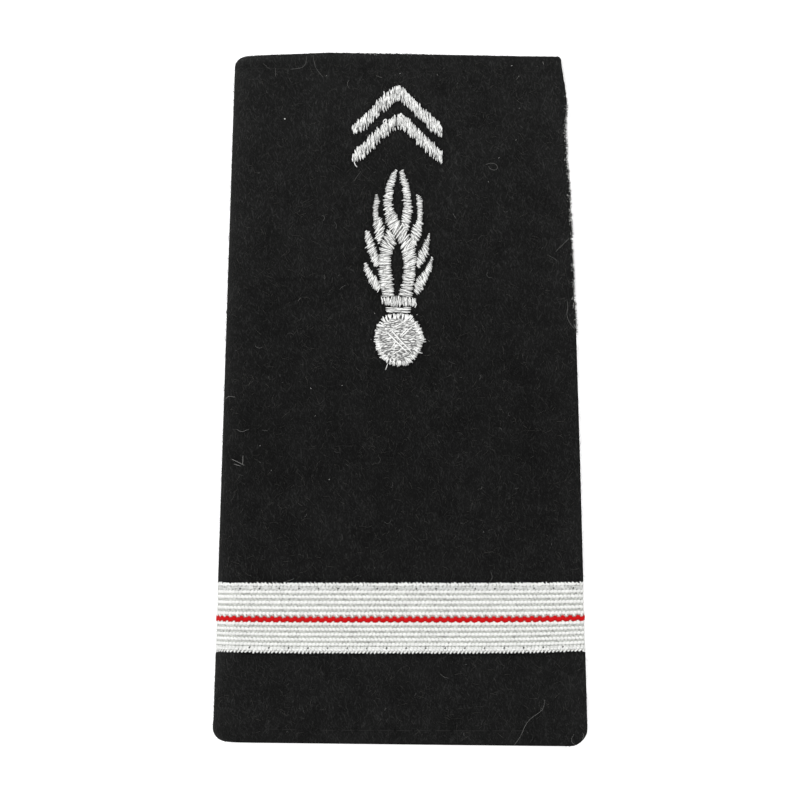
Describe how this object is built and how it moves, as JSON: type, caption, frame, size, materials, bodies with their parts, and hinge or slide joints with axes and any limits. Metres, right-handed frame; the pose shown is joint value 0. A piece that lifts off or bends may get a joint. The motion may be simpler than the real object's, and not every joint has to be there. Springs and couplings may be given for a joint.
{
  "type": "shoulder board",
  "caption": "Slip-on felt shoulder sleeve, hollow for a shoulder strap, with a white braid stripe with a red line, chevrons and a flaming grenade in satin stitch.",
  "frame": {"origin": "under the middle of the whole, on the surface that the back rests on", "axes": "+Z out of the front, +Y towards the narrow collar end, +X to the right as the front is seen"},
  "size_m": [0.053, 0.098, 0.0089],
  "materials": {
    "felt": "black wool felt, matt, with short fuzz",
    "stiffener": "white, matt",
    "braid": "white ribbed woven braid with a soft sheen",
    "red_thread": "red woven thread",
    "silver_thread": "silver-white satin stitch with a silky sheen"
  },
  "bodies": {
    "root": {"felt_sleeve": "felt", "stiffener": "stiffener", "braid": "braid", "red_line": "red_thread", "upper_chevron": "silver_thread", "lower_chevron": "silver_thread", "flame_crossing": "silver_thread", "flame_upper_right": "silver_thread", "flame_lower_left": "silver_thread", "flame_left_top": "silver_thread", "flame_left_middle": "silver_thread", "flame_left_low": "silver_thread", "flame_right_top": "silver_thread", "flame_right_middle": "silver_thread", "flame_right_low": "silver_thread", "grenade_collar": "silver_thread", "grenade_neck": "silver_thread", "grenade_ball": "silver_thread"}
  },
  "joints": []
}
